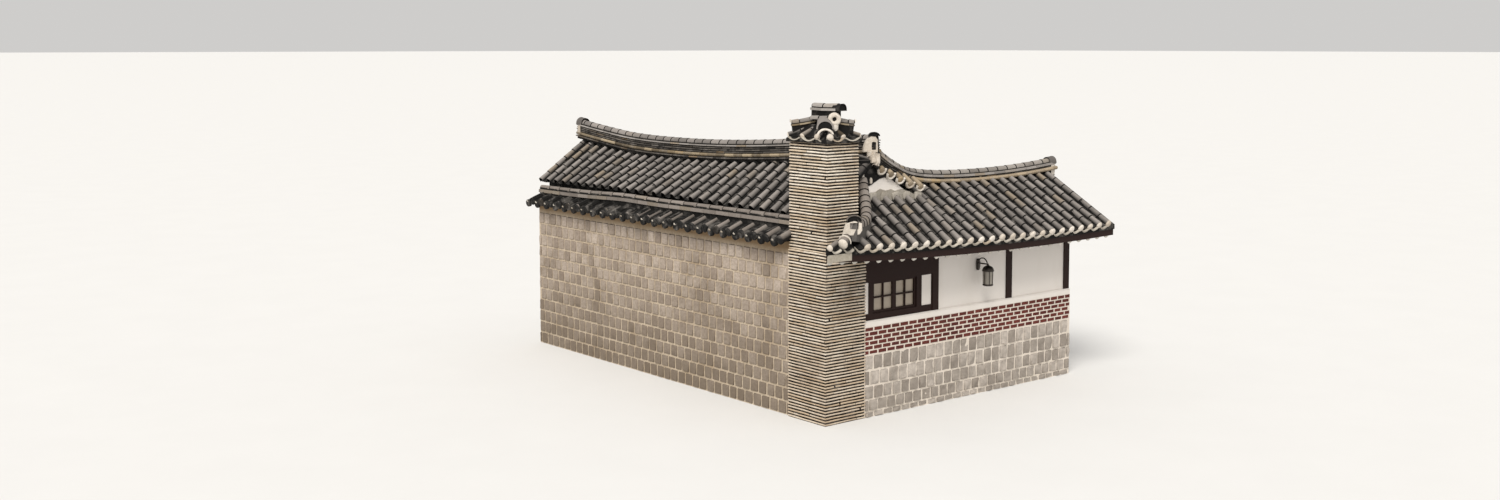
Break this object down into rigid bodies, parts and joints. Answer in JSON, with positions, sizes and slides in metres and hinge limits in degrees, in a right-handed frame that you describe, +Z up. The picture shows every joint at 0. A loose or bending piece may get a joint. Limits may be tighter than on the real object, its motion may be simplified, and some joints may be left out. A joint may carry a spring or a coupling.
{
  "type": "traditional courtyard house",
  "caption": "Low tile-roofed house on a lane corner: L-shaped wings with curved ridges, a stone lane wall, a stacked-tile chimney and a brick and plaster front with a timber window.",
  "frame": {"origin": "middle of the building's footprint box, at the lowest ground level", "axes": "+Z up; +Y north along the lane wall, the longest side; +X east along the brick and plaster front; the front faces -Y and the lane wall faces -X"},
  "size_m": [8.4, 11.4, 6.06],
  "materials": {
    "chimney": "flat tiles laid in weathered cream mortar",
    "tile": "matt fired clay, weathered grey",
    "ridge_tile": "matt fired clay stacked in mortar",
    "lane_stone": "rough-faced granite blocks with cream pointing",
    "front_stone": "rough-faced granite blocks with white pointing",
    "brick": "dark red brick with wide white joints",
    "plaster": "smooth lime plaster, slightly stained",
    "timber": "dark brown oiled timber",
    "window_glass": "frosted panes",
    "floor_boards": "oiled floor boards",
    "lantern_metal": "black paint"
  },
  "bodies": {
    "root": {"chimney_base": "chimney", "chimney_shaft": "chimney", "chimney_cap": "tile", "chimney_cap_ridge": "ridge_tile", "west_wall": "lane_stone", "west_wall_cap": "tile", "west_wall_cap_ridge": "ridge_tile", "south_stone_base": "front_stone", "south_brick_band": "brick", "south_sill": "plaster", "south_frame": "timber", "south_panel_middle": "plaster", "south_panel_east": "plaster", "window_frame": "timber", "window_panel_left": "plaster", "window_panel_right": "plaster", "sash_left": "timber", "sash_right": "timber", "pane_left": "window_glass", "pane_right": "window_glass", "courtyard_west_step": "front_stone", "courtyard_west_base": "front_stone", "courtyard_west_frame": "timber", "courtyard_west_panel_1": "plaster", "courtyard_west_window_1": "timber", "courtyard_west_glass_1": "window_glass", "courtyard_west_panel_2": "plaster", "courtyard_west_panel_3": "plaster", "courtyard_south_base": "front_stone", "courtyard_south_step": "front_stone", "courtyard_south_frame": "timber", "courtyard_south_panel_1": "plaster", "courtyard_south_window_1": "timber", "courtyard_south_glass_1": "window_glass", "east_base": "front_stone", "east_upper_wall": "plaster", "north_base": "front_stone", "north_upper_wall": "plaster", "floor": "floor_boards", "roof_west": "tile", "roof_south": "tile", "gable_south": "plaster", "ridge_west": "ridge_tile", "ridge_south": "ridge_tile", "hip_ridge": "ridge_tile", "south_eave": "timber", "courtyard_south_eave": "timber", "courtyard_west_eave": "timber", "lantern_bracket": "lantern_metal", "lantern": "lantern_metal"}
  },
  "joints": []
}
